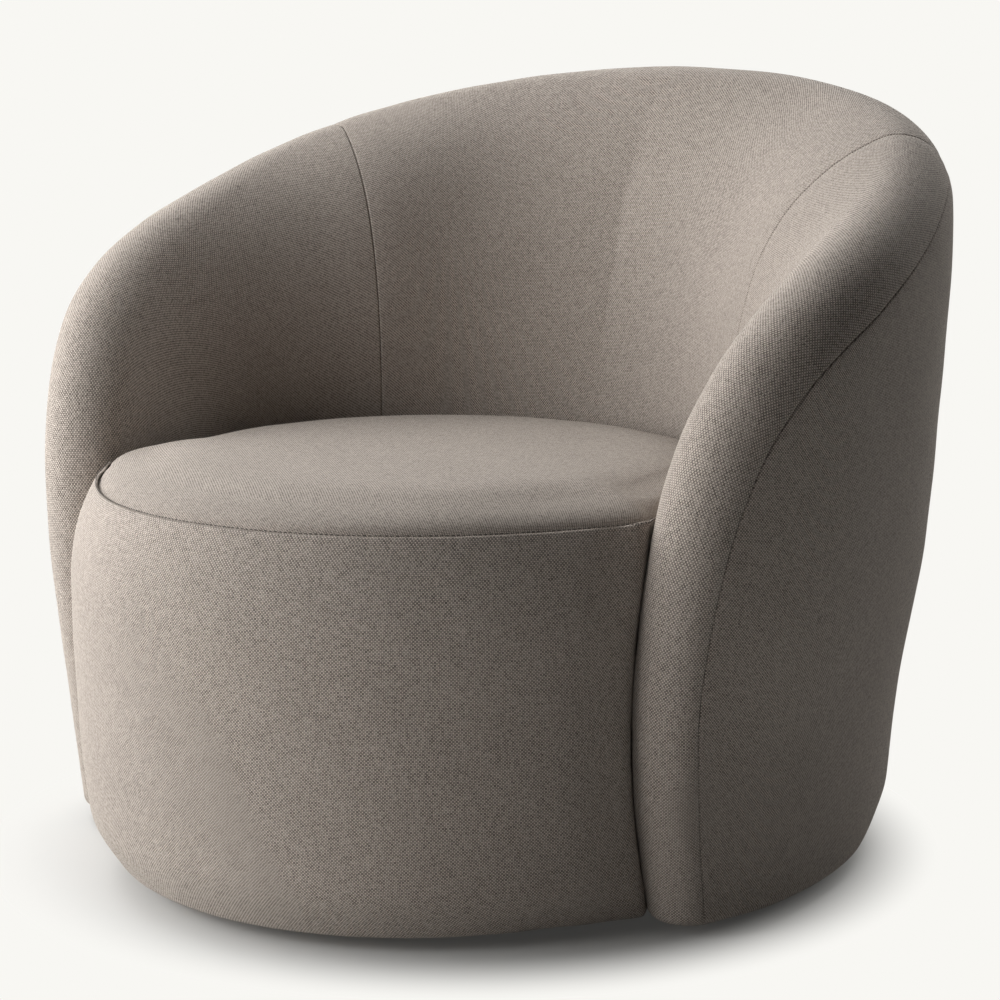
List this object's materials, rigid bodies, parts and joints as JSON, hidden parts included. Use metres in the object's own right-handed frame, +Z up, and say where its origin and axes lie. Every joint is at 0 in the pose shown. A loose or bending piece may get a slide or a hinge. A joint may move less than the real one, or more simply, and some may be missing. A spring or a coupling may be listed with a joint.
{
  "type": "swivel accent chair",
  "caption": "Upholstered barrel chair: a round seat drum inside a wraparound back and arms with one rolled rim, on a hidden ball-bearing swivel.",
  "frame": {"origin": "on the floor on the swivel axis, which is the middle of the chair's plan", "axes": "+Z up, -Y the way the sitter faces, +X towards the sitter's left arm"},
  "size_m": [0.8774, 0.891, 0.7504],
  "materials": {
    "outside_fabric": "greige linen-look weave",
    "inside_fabric": "greige linen-look weave",
    "seat_fabric": "greige linen-look weave",
    "black_cloth": "non-woven cloth",
    "foam": "open-cell foam",
    "felt": "needled felt",
    "webbing": "woven elastic",
    "fibreboard": "thin hardboard",
    "plywood": "raw plywood",
    "stained_plywood": "black stained plywood",
    "glide_plastic": "moulded",
    "black_steel": "black pressed steel",
    "zinc_steel": "zinc plated",
    "ball_steel": "hardened steel",
    "cage_nylon": "nylon"
  },
  "bodies": {
    "base": {"floor_glides": "glide_plastic", "plinth_disc": "stained_plywood", "swivel_lower_plate": "black_steel", "lower_plate_screws": "zinc_steel", "pivot_rivet": "zinc_steel"},
    "cage": {"ball_cage": "cage_nylon", "bearing_balls": "ball_steel"},
    "seat": {"arm_frame_left": "plywood", "arm_frame_right": "plywood", "arm_panel_left": "inside_fabric", "arm_panel_right": "inside_fabric", "back_hoop": "plywood", "back_rib_1": "plywood", "back_rib_2": "plywood", "back_rib_3": "plywood", "back_rib_4": "plywood", "back_rib_5": "plywood", "back_rib_6": "plywood", "back_rib_7": "plywood", "back_strap_lower": "webbing", "back_strap_upper": "webbing", "base_ring": "plywood", "deck_felt": "felt", "dust_cover": "black_cloth", "inside_back_cover": "inside_fabric", "outside_board": "fibreboard", "outside_cover_left": "outside_fabric", "outside_cover_right": "outside_fabric", "roll_foam": "foam", "seat_band_board": "plywood", "seat_band_cover": "seat_fabric", "seat_band_foam": "foam", "seat_foam": "foam", "seat_rail": "plywood", "seat_top_cover": "seat_fabric", "seat_upright_1": "plywood", "seat_upright_2": "plywood", "seat_upright_3": "plywood", "seat_upright_4": "plywood", "seat_upright_5": "plywood", "seat_upright_6": "plywood", "seat_webbing_crosswise": "webbing", "seat_webbing_lengthwise": "webbing", "swivel_board": "plywood", "swivel_board_screws": "zinc_steel", "swivel_upper_plate": "black_steel", "tee_nuts": "zinc_steel", "top_rail": "plywood", "upper_plate_bolts": "zinc_steel"}
  },
  "joints": [
    {"name": "swivel", "type": "hinge", "parent": "base", "child": "seat", "pos_m": [0, 0, 0.029], "axis": [0, 0, 1], "continuous": true},
    {"name": "cage_turn", "type": "hinge", "parent": "base", "child": "cage", "pos_m": [0, 0, 0.029], "axis": [0, 0, 1], "continuous": true}
  ],
  "couplings": [
    {"joint": "cage_turn", "follows": "swivel", "ratio": 0.5}
  ]
}
